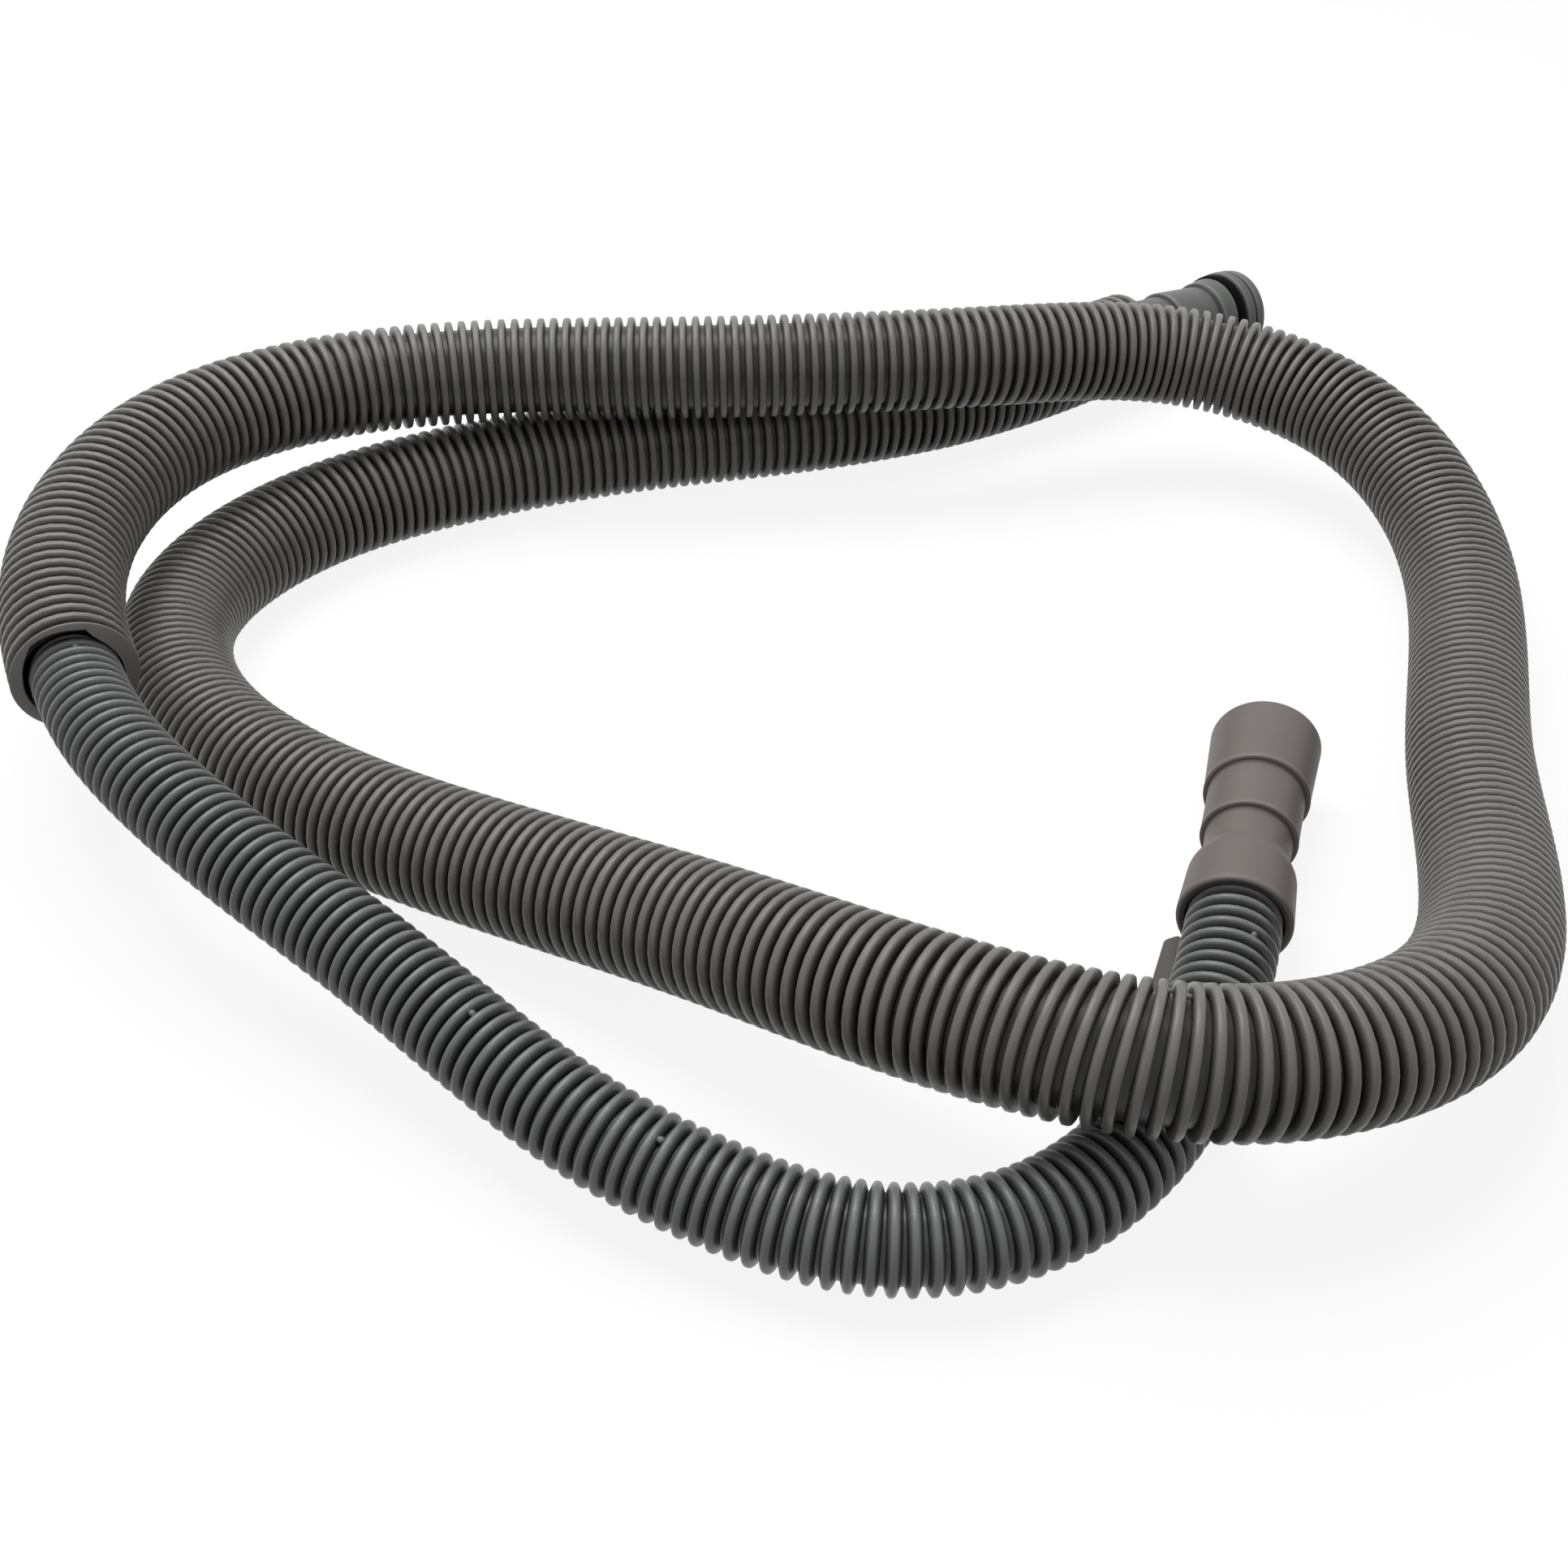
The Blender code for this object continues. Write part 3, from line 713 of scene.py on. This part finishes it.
# One lump, in the valley after the rib that is nearest to a length
def lump(length, degrees, setup, places, material):
    length = min(places, key=lambda place: abs(place - length * mm))
    nextRib = places[places.index(length) + 1]
    middle = (length + nextRib) / 2
    radius = radiusAt(setup, middle)
    centre, tangent, side, up = routeFrame(middle, radius)
    angle = math.radians(degrees)
    arm = math.cos(angle) * side + math.sin(angle) * up
    across = np.cross(arm, tangent)
    place = centre + arm * (radius - lumpSetup["sunk"] * mm)
    along, wide, high = (size * mm for size in lumpSetup["size"])
    mesh = bmesh.new()
    bmesh.ops.create_icosphere(mesh, subdivisions=2, radius=1)
    vertices = [place + tangent * v.co.x * along + across * v.co.y * wide + arm * v.co.z * high
                for v in mesh.verts]
    faces = [[v.index for v in face.verts] for face in mesh.faces]
    mesh.free()
    piece = newPiece("lump", vertices, faces, material)
    setFloats(piece, "ribCrest", np.full(len(vertices), lumpSetup["tone"]))
    return piece


# How far each point is from the mould's parting line in mm; the lumps stand on that line
def storeSeam(piece, setup, marks):
    count = len(piece.data.vertices)
    way = np.zeros(count * 3)
    piece.data.attributes["wayRound"].data.foreach_get("vector", way)
    cosine, sine, length = way.reshape(-1, 3).T
    angle = np.degrees(np.arctan2(sine, cosine))
    seamAngle = np.interp(length, [at * mm for at, _ in marks], [degrees for _, degrees in marks])
    off = (angle - seamAngle + 180) % 360 - 180
    setFloats(piece, "seam", np.radians(off) * setup["bore"] / mm * midRib)


storeSeam(hose, hoseSetup, lumpSetup["hose"])
joinTo(hose, *[lump(*spot, hoseSetup, hosePlaces, hosePlastic) for spot in lumpSetup["hose"]])
joinTo(sleeve, cutRib(cutSetup),
       *[lump(*spot, sleeveSetup, sleevePlaces, sleevePlastic) for spot in lumpSetup["sleeve"]])
print("hose and sleeve laid")


# A closed outline (along, radius, tone) whose corners (along, radius, fillet, tone) are rounded by short
# arcs; the tone is -1 where shade is painted into a root, 1 where a highlight is painted on an edge, and else
# left out
def filleted(corners, steps=6):
    outline = []
    for i, (along, radius, fillet, *tone) in enumerate(corners):
        tone = tone[0] if tone else 0
        here = np.array((along, radius))
        if fillet == 0:
            outline.append((along, radius, tone))
            continue
        back = np.array(corners[i - 1][:2]) - here
        forth = np.array(corners[(i + 1) % len(corners)][:2]) - here
        back /= np.linalg.norm(back)
        forth /= np.linalg.norm(forth)
        half = math.acos(float(np.clip(back @ forth, -1, 1))) / 2
        reach = fillet / math.tan(half)
        middle = here + (back + forth) / np.linalg.norm(back + forth) * fillet / math.sin(half)
        start = here + back * reach - middle
        goal = here + forth * reach - middle
        turn = math.pi - 2 * half
        if start[0] * goal[1] - start[1] * goal[0] < 0:
            turn = -turn
        for k in range(steps + 1):
            c, s = math.cos(turn * k / steps), math.sin(turn * k / steps)
            spot = middle + (c * start[0] - s * start[1], s * start[0] + c * start[1])
            outline.append((*spot, tone))
    return outline


# Turns a closed outline about an axis from a point, in mm
def turnedPiece(name, outline, axisSetup, material, steps=112):
    azimuth, slope = math.radians(axisSetup["azimuth"]), math.radians(axisSetup["slope"])
    level = math.cos(slope)
    tangent = np.array((math.sin(azimuth) * level, math.cos(azimuth) * level, math.sin(slope)))
    side = np.cross(tangent, (0, 0, 1))
    side /= np.linalg.norm(side)
    up = np.cross(side, tangent)
    start = np.array(axisSetup["start"])
    vertices = []
    for along, radius, _ in outline:
        for k in range(steps):
            angle = math.tau * k / steps
            arm = math.cos(angle) * side + math.sin(angle) * up
            vertices.append((start + tangent * along + arm * radius) * mm)
    piece = newPiece(name, vertices, ringFaces(len(outline), steps), material)
    piece.data.set_sharp_from_angle(angle=math.radians(axisSetup["sharpOver"]))
    # the outline's tones, painted shade and painted highlights, for the material
    setFloats(piece, "paintedStepLight", [tone for *_, tone in outline for _ in range(steps)])
    return piece


# What a user would change on the cuff: places along its axis from the bell's rim, and radii, in mm
cuffSetup = {
    "start": (103.1, -135.7, 13.95),
    "azimuth": 17.8,
    "slope": 0.4,
    "bell": 13.9,
    "shoulder": (14.6, 13.3),
    "waist": (23.5, 10.5),
    "smallStep": (32.4, 12.2),
    "largeStep": (50.5, 13.6),
    "end": (75.0, 14.6),
    "flare": 0.72,  # lower for a fuller shoulder
    "hoseSocket": (11, 11.75),
    "throat": (9.6, 8.7, 8.9),  # at the hose's end, in the waist and at the small step
    "narrowSocket": (10.0, 10.2),  # at its bottom and at its open end
    "wideSocket": (11.5, 11.9),
    "mouth": 12.4,
    "ledge": 2,  # how far each socket's bottom lies past the step outside
    "sharpOver": 32,
}


def cuffOutline(setup):
    (shoulderAt, shoulder), (waistAt, waist) = setup["shoulder"], setup["waist"]
    (smallAt, small), (largeAt, large) = setup["smallStep"], setup["largeStep"]
    endAt, end = setup["end"]
    bell, ledge = setup["bell"], setup["ledge"]
    socketEnd, socket = setup["hoseSocket"]
    throatBack, throatWaist, throatFront = setup["throat"]
    narrowBack, narrowFront = setup["narrowSocket"]
    wideBack, wideFront = setup["wideSocket"]
    flare = []
    for u in np.linspace(0.12, 0.88, 7):  # share of the way from the shoulder to the waist
        blend = (0.5 + 0.5 * math.cos(math.pi * u)) ** setup["flare"]
        flare.append((shoulderAt + (waistAt - shoulderAt) * u, waist + (shoulder - waist) * blend, 0))
    # Place, radius, fillet and tone of each corner; a negative tone paints shade into a root, a positive one
    # paints a highlight on an edge
    outer = [
        (0, bell, 0.9, 0.7), (2.4, bell - 0.05, 0.5), (shoulderAt, shoulder, 0), *flare,
        (waistAt, waist, 0), (smallAt - 2, waist + 0.4, 0), (smallAt - 0.4, waist + 0.5, 0.35, -1),
        (smallAt - 0.1, small + 0.1, 0.5, 1), (smallAt + 1.6, small, 0.6), (largeAt - 2, small + 0.2, 0),
        (largeAt - 0.4, small + 0.25, 0.35, -1), (largeAt - 0.1, large + 0.12, 0.55, 1),
        (largeAt + 1.8, large + 0.02, 0.6), (endAt, end, 1.0),
    ]
    bore = [
        (0, bell - 1.0, 0, -0.75), (0, socket, 0.3, -1), (socketEnd, socket, 0, -1),
        (socketEnd, throatBack, 0), (waistAt - 5, throatWaist, 0), (smallAt, throatFront, 0),
        (smallAt + ledge, narrowBack, 0.3), (largeAt, narrowFront, 0.3), (largeAt + ledge, wideBack, 0),
        (endAt - 1, wideFront, 0), (endAt, setup["mouth"], 0.3),
    ]
    return filleted(outer[::-1] + bore)


cuff = turnedPiece("outlet_cuff_moulded", cuffOutline(cuffSetup), cuffSetup, cuffPlastic)


# What a user would change on the connector and its seal: places along their axis from the first step's
# rim, and radii, in mm
connectorSetup = {
    "start": (141.5, 201.5, 19.2),
    "azimuth": 55.0,
    "slope": -3.5,
    "neck": (-22.6, 13.0),
    "firstStep": 14.3,
    "firstStepEnd": 13.5,
    "secondStep": (20.6, 14.8),
    "band": 15.6,
    "sealGroove": (27.2, 31.8, 13.9),  # from, to and radius
    "flange": 17.0,
    "endGroove": (36.2, 1.3, 1.3),  # place, width, depth
    "end": (41.4, 16.5),
    "seal": 16.45,
    "sealRound": 1.5,
    "sealGap": 0.1,
    "hoseStop": (-2.8, 4, 9.6),  # the narrow ring in the bore that stops the hose's end
    "bore": (11.5, 12.0),  # beside the stop and near the mouth
    "funnel": 2,  # length over which the stop widens again
    "mouth": 12.8,
    "sharpOver": 32,
}


def connectorOutline(setup):
    neckAt, neck = setup["neck"]
    secondAt, second = setup["secondStep"]
    grooveFrom, grooveTo, groove = setup["sealGroove"]
    ringAt, ringWidth, ringDepth = setup["endGroove"]
    endAt, end = setup["end"]
    flange, band = setup["flange"], setup["band"]
    firstStep, firstStepEnd = setup["firstStep"], setup["firstStepEnd"]
    stopFrom, stopTo, stop = setup["hoseStop"]
    boreBack, boreFront = setup["bore"]
    ringFrom, ringTo = ringAt - ringWidth / 2, ringAt + ringWidth / 2
    ringFloor = flange - ringDepth
    # a negative tone paints shade into a root or groove, a positive one paints a highlight on a rim
    outer = [
        (neckAt, neck, 0.4), (-3, neck, 0), (-0.4, neck + 0.1, 0.3, -1), (0, firstStep, 0.55, 1),
        (1.8, firstStep - 0.05, 0.5), (secondAt - 2, firstStepEnd + 0.05, 0),
        (secondAt - 0.6, firstStepEnd, 0.3, -1), (secondAt, second - 0.3, 0, -0.5),
        (secondAt + 0.5, second + 0.05, 0.3, 0.9), (secondAt + 1.8, second + 0.15, 0.5),
        (grooveFrom - 1.2, band - 0.1, 0), (grooveFrom, band, 0.35, 0.6), (grooveFrom, groove, 0, -1),
        (grooveTo, groove, 0, -1), (grooveTo, flange - 0.1, 0.6, 0.7), (grooveTo + 1.2, flange, 0),
        (ringFrom - 0.8, flange, 0), (ringFrom, flange, 0.35, 0.5), (ringFrom + 0.1, ringFloor, 0.1, -1),
        (ringTo - 0.1, ringFloor, 0.1, -1), (ringTo, flange - 0.1, 0.35, 0.8),
        (ringTo + 1.2, flange - 0.1, 0), (endAt, end, 1.6),
    ]
    bore = [
        (neckAt, boreBack, 0.3), (stopFrom, boreBack, 0), (stopFrom, stop, 0), (stopTo, stop, 0),
        (stopTo + setup["funnel"], boreBack, 0), (endAt - 1, boreFront, 0), (endAt, setup["mouth"], 0.3),
    ]
    return filleted(outer[::-1] + bore)


# The seal in its groove, with a small gap on each side
def sealOutline(setup):
    grooveFrom, grooveTo, groove = setup["sealGroove"]
    gap, crown, fillet = setup["sealGap"], setup["seal"], setup["sealRound"]
    low, high, base = grooveFrom + gap, grooveTo - gap, groove + gap
    return filleted([(high, crown, fillet), (low, crown, fillet), (low, base, 0), (high, base, 0)])


connector = turnedPiece("machine_connector_moulded", connectorOutline(connectorSetup), connectorSetup,
                        connectorPlastic)
seal = turnedPiece("seal_ring_moulded", sealOutline(connectorSetup), connectorSetup, sealRubber)


# What a user would change on the flat tab, in mm
tabSetup = {
    "centre": (87.4, -143.3),
    "size": (7.0, 34.0, 2.2),
    "corner": 2.5,  # cut off the two corners of one end
    "azimuth": 20.6,
    "edge": 0.45,  # rounding
    "edgeSteps": 3,
    "sharpOver": 35,
}


def flatTab(setup):
    width, length, height = setup["size"]
    w, l, c = width / 2, length / 2, setup["corner"]
    corners = [(-w, -l), (w, -l), (w, l - c), (w - c, l), (-w + c, l), (-w, l - c)]
    turn = math.radians(-setup["azimuth"])
    vertices = []
    for z in (0, height):
        for x, y in corners:
            vertices.append(((x * math.cos(turn) - y * math.sin(turn) + setup["centre"][0]) * mm,
                             (x * math.sin(turn) + y * math.cos(turn) + setup["centre"][1]) * mm, z * mm))
    n = len(corners)
    faces = [tuple(range(n))[::-1], tuple(range(n, 2 * n))]
    faces += [(i, (i + 1) % n, n + (i + 1) % n, n + i) for i in range(n)]
    piece = newPiece("flat_tab_moulded", vertices, faces, tabPlastic)
    mesh = bmesh.new()
    mesh.from_mesh(piece.data)
    bmesh.ops.bevel(mesh, geom=mesh.edges[:], offset=setup["edge"] * mm, segments=setup["edgeSteps"],
                    affect="EDGES")
    bmesh.ops.triangulate(mesh, faces=mesh.faces)
    skewed = Vector((1, 2, 3))  # sorted this way, the triangles have one order in every run
    mesh.faces.sort(key=lambda face: face.calc_center_median() @ skewed)
    mesh.to_mesh(piece.data)
    mesh.free()
    piece.data.shade_smooth()
    piece.data.set_sharp_from_angle(angle=math.radians(setup["sharpOver"]))
    return piece


tab = flatTab(tabSetup)
print("cuff, connector, seal and tab made")


cordStep = 4 * mm


# The centre line of a tube from one length to another, as points about a cord step apart
def cordPath(start, end, setup):
    count = round((end - start) / cordStep)
    return [tuple(routeAt(s, radiusAt(setup, s))) for s in np.linspace(start, end, count + 1)]


# Every piece stays with the root and replaces one solid
for piece, node, slot in (
    (hose, "drain_hose", "hose_plastic"),
    (sleeve, "outer_sleeve", "sleeve_plastic"),
    (cuff, "outlet_cuff", "cuff_plastic"),
    (connector, "machine_connector", "connector_plastic"),
    (seal, "seal_ring", "seal_rubber"),
    (tab, "flat_tab", "cuff_plastic"),
):
    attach(piece, "root")
    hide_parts(node)
cordPath(0, routeLength, hoseSetup)
tuple(routeAt(sleeveEnd, radiusAt(sleeveSetup, sleeveEnd)))
cordPath(sleeveStart, sleeveEnd, sleeveSetup)


# Floor, background and light
stageSetup = {
    "floorSize": 8,
    "floorDrop": 0.2 * mm,  # below the object, so that they don't touch
    "floorColour": (0.16, 0.16, 0.16),
    "floorLift": 0.88,  # added for the camera, so that the floor reads white
    "skyStrength": 0.25,
}


# 1 for the rays that show the floor and the background themselves, and 0 for the others
def shownRays(tree):
    rays = tree.nodes.new("ShaderNodeLightPath").outputs
    mirrored = reckon(tree, "MAXIMUM", rays["Is Glossy Ray"], rays["Is Transmission Ray"])
    return reckon(tree, "MAXIMUM", rays["Is Camera Ray"], mirrored)


def makeStage(setup):
    mesh = bpy.data.meshes.new("floor")
    half, low = setup["floorSize"] / 2, -setup["floorDrop"]
    mesh.from_pydata([(-half, -half, low), (half, -half, low), (half, half, low), (-half, half, low)],
                     [], [(0, 1, 2, 3)])
    floor = bpy.data.objects.new("floor", mesh)
    bpy.context.collection.objects.link(floor)
    material = bpy.data.materials.new("paleFloor")
    material.use_nodes = True
    tree = material.node_tree
    tree.nodes.clear()
    diffuse = addNode(tree, "ShaderNodeBsdfDiffuse", (), {"Color": (*setup["floorColour"], 1)})
    glow = addNode(tree, "ShaderNodeEmission", (), {
        "Color": (1, 1, 1, 1), "Strength": reckon(tree, "MULTIPLY", shownRays(tree), setup["floorLift"])})
    both = addNode(tree, "ShaderNodeAddShader", (), {0: diffuse.outputs[0], 1: glow.outputs[0]})
    addNode(tree, "ShaderNodeOutputMaterial", (), {"Surface": both.outputs[0]})
    mesh.materials.append(material)

    world = bpy.data.worlds.new("studio")
    world.use_nodes = True
    bpy.context.scene.world = world
    tree = world.node_tree
    tree.nodes.clear()
    white = (1, 1, 1, 1)
    sky = addNode(tree, "ShaderNodeBackground", (), {"Color": white, "Strength": setup["skyStrength"]})
    shown = addNode(tree, "ShaderNodeBackground", (), {"Color": white, "Strength": 1})
    pick = addNode(tree, "ShaderNodeMixShader", (), {
        0: shownRays(tree), 1: sky.outputs[0], 2: shown.outputs[0]})
    addNode(tree, "ShaderNodeOutputWorld", (), {"Surface": pick.outputs[0]})


# name, place, size, watts; each lamp faces the middle of the loop
lamps = [
    ("keyLamp", (-0.3, 0.4, 1.35), 1.0, 15.5),
    ("frontLamp", (0.5, -1.1, 1.1), 1.0, 0.6),
]


def makeLamps():
    for name, place, size, watts in lamps:
        data = bpy.data.lights.new(name, "AREA")
        data.size = size
        data.energy = watts
        item = bpy.data.objects.new(name, data)
        item.location = place
        item.rotation_mode = "QUATERNION"
        item.rotation_quaternion = Vector(place).to_track_quat("Z", "Y")
        bpy.context.collection.objects.link(item)


makeStage(stageSetup)
makeLamps()
bpy.context.scene.view_settings.view_transform = "Standard"
print("stage and lamps set")
